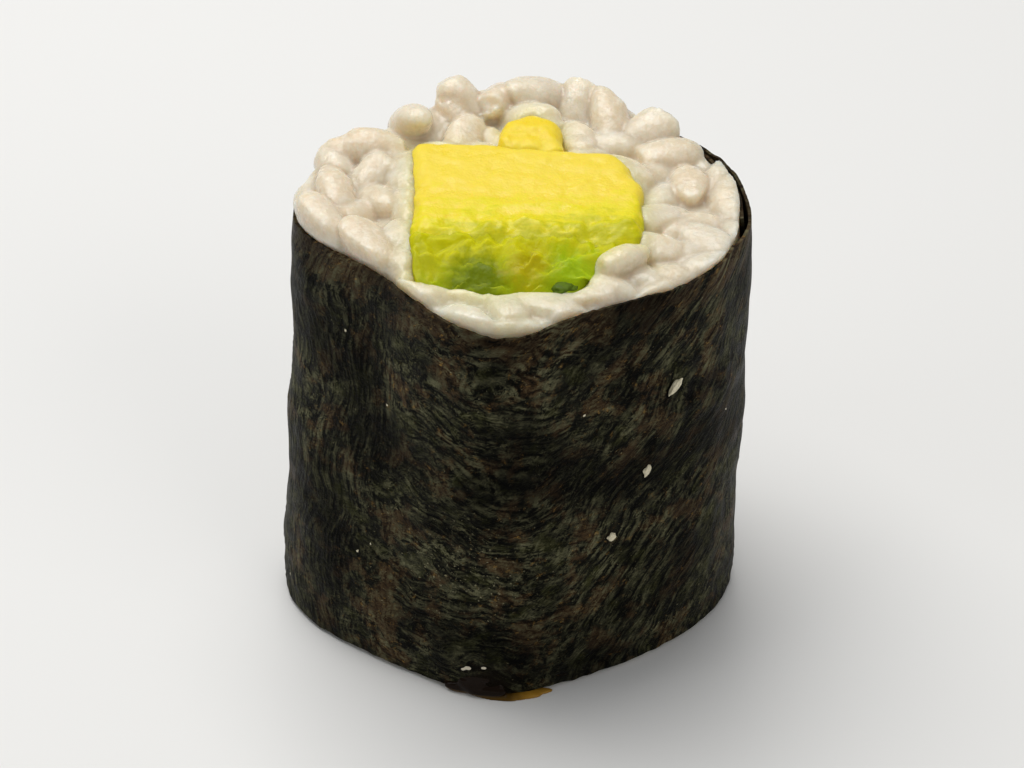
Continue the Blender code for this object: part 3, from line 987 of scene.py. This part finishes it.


# Marks each point with its grain's own tone, how near it is to the next grain, which the rice's material
# turns into painted shade in the creases, and how stained it is
def markGrains(obj, grains):
    places = vertexPlaces(obj)
    nearest = np.full(len(places), 9.0)
    second = np.full(len(places), 9.0)
    tone = np.zeros(len(places))
    for centre, heading, size, ownTone in grains:
        offset = places - np.array(centre)
        reach = 0.5 * (rice["length"] - rice["width"]) * size
        onAxis = np.clip(offset @ np.array(heading), -reach, reach)
        fromAxis = np.linalg.norm(offset - onAxis[:, None] * np.array(heading), axis=1)
        away = fromAxis / (0.5 * rice["width"] * size)
        closer = away < nearest
        second = np.where(closer, nearest, np.minimum(second, away))
        tone = np.where(closer, ownTone, tone)
        nearest = np.where(closer, away, nearest)
    # Painted shade: 1 where two grains meet, for darker creases
    creaseShade = np.clip(1 - (second - nearest) / rice["creaseShadeWidth"], 0, 1) ** 1.5
    stain = np.exp(np.minimum(besideStrips(places), 0) / rice["stainReach"])
    for label, values in (("grainTone", tone), ("creaseShade", creaseShade), ("stain", stain)):
        attribute = obj.data.attributes.new(label, "FLOAT", "POINT")
        attribute.data.foreach_set("value", values.astype(np.float32))


def copyMesh(kind, place):
    made = kind.copy()
    made.data = kind.data.copy()
    made.data.transform(place)
    bpy.context.collection.objects.link(made)
    return made


def makeRiceFace(name, kinds, level, bulge, top, material):
    chance = random.Random(rice["seed"] + (0 if top else 5))
    ends = (levelEnd(rice["topCoreFrom"]), packedLevel) if top else map(levelEnd, rice["footCore"])
    core = makeCore(name, *ends, rice["inset"] + rice["coreGap"])
    copies, grains = [], []
    for layer in range(rice["layers"]):
        depth = layer * rice["layerDepth"] * (1 if top else -1)
        for spot, angle, share in spreadGrains(level - depth, bulge, top, chance):
            far = farSide(angle) * ease((share - 0.5) / 0.4) if top else 0.0
            spot.z += chance.uniform(-rice["jitter"], rice["jitter"])
            size = chance.uniform(*rice["sizes"])
            heading = chance.uniform(0, math.tau)
            tilt = chance.uniform(-1, 1) * mix(*rice["tilts"], far)
            roll = chance.uniform(-rice["rolls"], rice["rolls"])
            turned = turnedBy(heading) @ turnedBy(tilt, "Y") @ turnedBy(roll, "X")
            place = Matrix.Translation(spot) @ turned @ Matrix.Scale(size, 4)
            copies.append(copyMesh(chance.choice(kinds), place))
            grains.append((spot, turned.to_3x3().col[0], size, chance.uniform(0.0, 1.0)))
    joinMeshes(core, *copies)
    places = vertexPlaces(core)
    pressInside(places, top)
    placeVertices(core, places)
    if top:
        strays = []
        for spot, heading, size in rice["strayGrains"]:
            turned = turnedBy(math.radians(heading))
            strays.append(copyMesh(kinds[0], Matrix.Translation(spot) @ turned @ Matrix.Scale(size, 4)))
            grains.append((spot, turned.to_3x3().col[0], size, rice["strayTone"]))
        joinMeshes(core, *strays)
    voxelRemesh(core, rice["voxel"], rice["smoothing"])
    markGrains(core, grains)
    shadeSmooth(core)
    finishPiece(core, material, "rice", "rice")
    return core, len(grains)


riceFinish = makeRiceMaterial()
grainKinds = [
    modelGrain("grainA", 0.86, 0.0, 1.0),
    modelGrain("grainB", 0.80, 0.00025, 0.96),
    modelGrain("grainC", 0.92, -0.0002, 1.05),
]
riceTop, topCount = makeRiceFace("rice_top", grainKinds, rice["topLevel"], rice["bulge"], True, riceFinish)
print("top of the rice:", topCount, "grains,", len(riceTop.data.polygons), "faces")
riceFoot, footCount = makeRiceFace("rice_foot", grainKinds, rice["footLevel"], 0.0, False, riceFinish)
print("foot of the rice:", footCount, "grains,", len(riceFoot.data.polygons), "faces")
for kind in grainKinds:
    bpy.data.objects.remove(kind)
packed = makeCore("rice_packed", *map(levelEnd, rice["middleCore"]), rice["inset"] + rice["middleGap"])
finishPiece(packed, riceFinish, "rice", "rice")


crumbs = {
    "starch": (0.88, 0.80, 0.56),
    "skin": (0.100, 0.165, 0.008),
    # A speck on the wall is its heading, height in metres, length and width in millimetres, and tilt
    "onWall": ((320.9, 0.02326, 1.85, 0.80, 22), (311.7, 0.01688, 1.05, 0.66, 62),
               (299.8, 0.01221, 0.72, 0.66, 80), (196.8, 0.00236, 0.36, 0.34, 0)),
    "thickness": 0.35,
    "tiny": 26,
    "tinySize": (0.10, 0.20),
    "tinyHeights": (0.003, 0.028),
    "tinyLength": 1.4,
    "lumps": 0.8,
    "skinBit": ((0.0029, -0.0089, 0.0314), (0.0015, 0.0010, 0.0004), 12),  # place, size, heading
    "seed": 4,
    "moist": {"Scale": 3.0, "Grit": 0.3, "Depth": 0.00004},
    "darkShare": 0.7,
}


def modelCrumb(name):
    deselectAll()
    bpy.ops.mesh.primitive_ico_sphere_add(subdivisions=3, radius=0.5)
    crumb = bpy.context.object
    crumb.name = name
    for vertex in crumb.data.vertices:
        vertex.co *= 1 + crumbs["lumps"] * noise.noise(vertex.co * 2.3 + Vector((3, 1, 7)))
    return crumb


def crumbMaterial(name, colour, wet, dry, specular):
    material, tree, shader = newMaterial(name)
    moist = placeGroup(tree, moistGroup, inMillimetres(tree), Wet=wet, Dry=dry, **crumbs["moist"])
    darker = tuple(crumbs["darkShare"] * part for part in colour)
    shades = addRamp(tree, moist["Patches"], (0.35, darker), (0.65, colour))
    feedAll(tree, shader, Base_Color=shades, Roughness=moist["Roughness"], Normal=moist["Normal"],
            Specular_IOR_Level=specular)
    return material


# Specks of dried starch on the nori: a few larger ones, and a scatter of tiny ones
def makeSpecks(kind):
    chance = random.Random(crumbs["seed"])
    wanted = list(crumbs["onWall"])
    for _ in range(crumbs["tiny"]):
        size = chance.uniform(*crumbs["tinySize"])
        heading = chance.uniform(0, 360)
        height = chance.uniform(*crumbs["tinyHeights"])
        wanted.append((heading, height, size * crumbs["tinyLength"], size, chance.uniform(0, 180)))
    specks = []
    for heading, height, length, width, tilt in wanted:
        angle = math.radians(heading)
        out = Vector((math.cos(angle), math.sin(angle), 0))
        facing = out.to_track_quat("Z", "Y").to_matrix().to_4x4() @ turnedBy(math.radians(tilt))
        size = Matrix.Diagonal((length / 1000, width / 1000, crumbs["thickness"] * width / 1000, 1))
        place = Matrix.Translation(wallPoint(angle, height, -seamLift(angle)))
        specks.append(copyMesh(kind, place @ facing @ size))
    scatter = joinMeshes(*specks)
    scatter.name = "starch_specks"
    shadeSmooth(scatter)
    finishPiece(scatter, crumbMaterial("starchFinish", crumbs["starch"], 0.25, 0.5, 0.5), "rice")
    return scatter


def makeSkinBit(kind):
    spot, size, heading = crumbs["skinBit"]
    place = Matrix.Translation(spot) @ turnedBy(math.radians(heading))
    bit = copyMesh(kind, place @ Matrix.Diagonal((*size, 1)))
    bit.name = "avocado_skin_bit"
    shadeSmooth(bit)
    finishPiece(bit, crumbMaterial("avocadoSkinFinish", crumbs["skin"], 0.35, 0.6, 0.12), "avocado_rim")


crumbKind = modelCrumb("crumbKind")
specks = makeSpecks(crumbKind)
makeSkinBit(crumbKind)
bpy.data.objects.remove(crumbKind)
print("specks and skin bit placed:", len(specks.data.polygons), "faces")


# A drop is its heading, and then its height, length, depth and rise in millimetres
sauce = {
    "drops": (
        (259.0, 0.85, 1.10, 0.34, 0.85), (256.0, 0.45, 1.25, 0.32, 0.50), (262.5, 0.50, 1.50, 0.42, 0.62),
        (266.0, 0.90, 0.45, 0.26, 0.36), (267.5, 0.02, 1.90, 0.60, 0.22), (271.5, 0.06, 1.70, 0.56, 0.26),
        (276.0, 0.04, 1.40, 0.38, 0.18), (260.2, 1.55, 1.05, 0.20, 0.44), (256.4, 2.32, 0.24, 0.24, 0.17),
        (257.8, 2.52, 0.30, 0.26, 0.20), (262.1, 2.66, 0.26, 0.24, 0.17)),
    "drawnIn": 0.10,  # how far the middle of each drop lies inside the nori's face, in mm
    "voxel": 0.00008,
    "smoothing": 6,
    "lumps": 0.00006,
    "overFloor": 0.00002,
    "dark": (0.0085, 0.0036, 0.0011),
    # Painted glints: a pale colour on the small beads at the top of the sauce, standing in for highlights
    "paintedGlint": (0.66, 0.60, 0.47),
    "paintedGlintHeight": (2.10, 2.25),  # millimetres between which the sauce turns pale, as painted glints on the beads at its top
    "amber": (0.34, 0.18, 0.022),
    "amberSpot": ((2.3, -14.9, 0.0), 2.9),  # place and reach in millimetres
    "filmHeight": (0.16, 0.42),  # millimetres between which the sauce turns from thin and amber to dark
    "filmShare": 0.22,
    "roughness": 0.05,
    "specular": 0.11,
}


# Drops of sauce that have run together at the foot of the nori. One is modelled and the others are copies
def makeSauce():
    deselectAll()
    bpy.ops.mesh.primitive_ico_sphere_add(subdivisions=4, radius=0.001)
    kind = bpy.context.object
    drops = []
    for heading, height, length, depth, rise in sauce["drops"]:
        angle = math.radians(heading)
        place = Matrix.Translation(wallPoint(angle, height / 1000, sauce["drawnIn"] / 1000))
        size = Matrix.Diagonal((length, depth, rise, 1))
        drops.append(copyMesh(kind, place @ turnedBy(angle + math.pi / 2) @ size))
    bpy.data.objects.remove(kind)
    bead = joinMeshes(*drops)
    bead.name = "sauce_bead"
    voxelRemesh(bead, sauce["voxel"], sauce["smoothing"])
    for vertex in bead.data.vertices:
        vertex.co += vertex.normal * sauce["lumps"] * noise.noise(vertex.co * 1100)
        vertex.co.z = max(vertex.co.z, sauce["overFloor"])
    shadeSmooth(bead)
    material, tree, shader = newMaterial("sauceFinish")
    inSpace = inMillimetres(tree)
    cloudy = addNoise(tree, inSpace, 1.4, 2.0)
    thin = addNearness(tree, inSpace, *sauce["amberSpot"], 1.9, 1.2, cloudy)
    height = addNode(tree, "SeparateXYZ", Vector=inSpace).outputs["Z"]
    film, thick = sauce["filmHeight"]
    pale = addMath(tree, "MAXIMUM", thin, addRange(tree, height, thick, film, 0.0, sauce["filmShare"]))
    colour = addMix(tree, pale, sauce["dark"], sauce["amber"])
    # Painted glints on the small beads at the top of the sauce
    colour = addMix(tree, addRange(tree, height, *sauce["paintedGlintHeight"]), colour, sauce["paintedGlint"])
    feedAll(tree, shader, Base_Color=colour, Roughness=sauce["roughness"],
            Specular_IOR_Level=sauce["specular"])
    bead.data.materials.append(material)
    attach(bead, "root")


makeSauce()
print("sauce bead made")


studio = {
    "floorSize": 1.6,
    "floorColour": (0.78, 0.78, 0.77),
    "floorRoughness": 0.6,
    "cameraPlace": (-0.00137, -0.17672, 0.157),
    "cameraAim": (-0.0003, 0.0, 0.0163),
    "cameraRoll": math.radians(1.07),
    "lens": 114,
    "nearest": 0.005,
    # Each light's place, aim, size, power and colour
    "keyLight": ((-0.10, 0.16, 0.44), (0, 0, 0.02), (0.42, 0.34), 2.15, (1.0, 0.985, 0.96)),
    "fillLight": ((0.30, -0.26, 0.30), (0, 0, 0.015), (0.30, 0.30), 0.40, (1.0, 0.97, 0.93)),
    "leftLight": ((-0.36, -0.16, 0.22), (0, 0, 0.015), (0.20, 0.20), 0.15, (0.95, 0.98, 1.0)),
    "worldColour": (0.95, 0.97, 1.0),
    "worldStrength": 0.25,
}


def makeFloor():
    deselectAll()
    bpy.ops.mesh.primitive_plane_add(size=studio["floorSize"])
    floor = bpy.context.object
    floor.name = "floor"
    material, tree, shader = newMaterial("floorFinish")
    feedAll(tree, shader, Base_Color=studio["floorColour"], Roughness=studio["floorRoughness"])
    floor.data.materials.append(material)


def addSoftbox(name, place, aim, size, power, colour):
    lamp = bpy.data.lights.new(name, "AREA")
    lamp.shape = "RECTANGLE"
    lamp.size, lamp.size_y = size
    lamp.energy = power
    lamp.color = colour
    box = bpy.data.objects.new(name, lamp)
    bpy.context.scene.collection.objects.link(box)
    box.location = place
    box.rotation_euler = (Vector(aim) - Vector(place)).to_track_quat("-Z", "Y").to_euler()


def makeCamera():
    camera = bpy.data.objects.new("camera", bpy.data.cameras.new("camera"))
    bpy.context.scene.collection.objects.link(camera)
    place, aim = Vector(studio["cameraPlace"]), Vector(studio["cameraAim"])
    facing = (aim - place).to_track_quat("-Z", "Y").to_matrix().to_4x4()
    camera.matrix_world = Matrix.Translation(place) @ facing @ turnedBy(studio["cameraRoll"])
    camera.data.sensor_width = 36
    camera.data.lens = studio["lens"]
    camera.data.clip_start = studio["nearest"]
    bpy.context.scene.camera = camera


makeFloor()
for lightName in ("keyLight", "fillLight", "leftLight"):
    addSoftbox(lightName, *studio[lightName])
makeCamera()
world = bpy.data.worlds.new("studioWorld")
bpy.context.scene.world = world
world.use_nodes = True
background = world.node_tree.nodes["Background"]
feedAll(world.node_tree, background, Color=studio["worldColour"], Strength=studio["worldStrength"])
bpy.context.scene.view_settings.view_transform = "Standard"
print("studio ready")
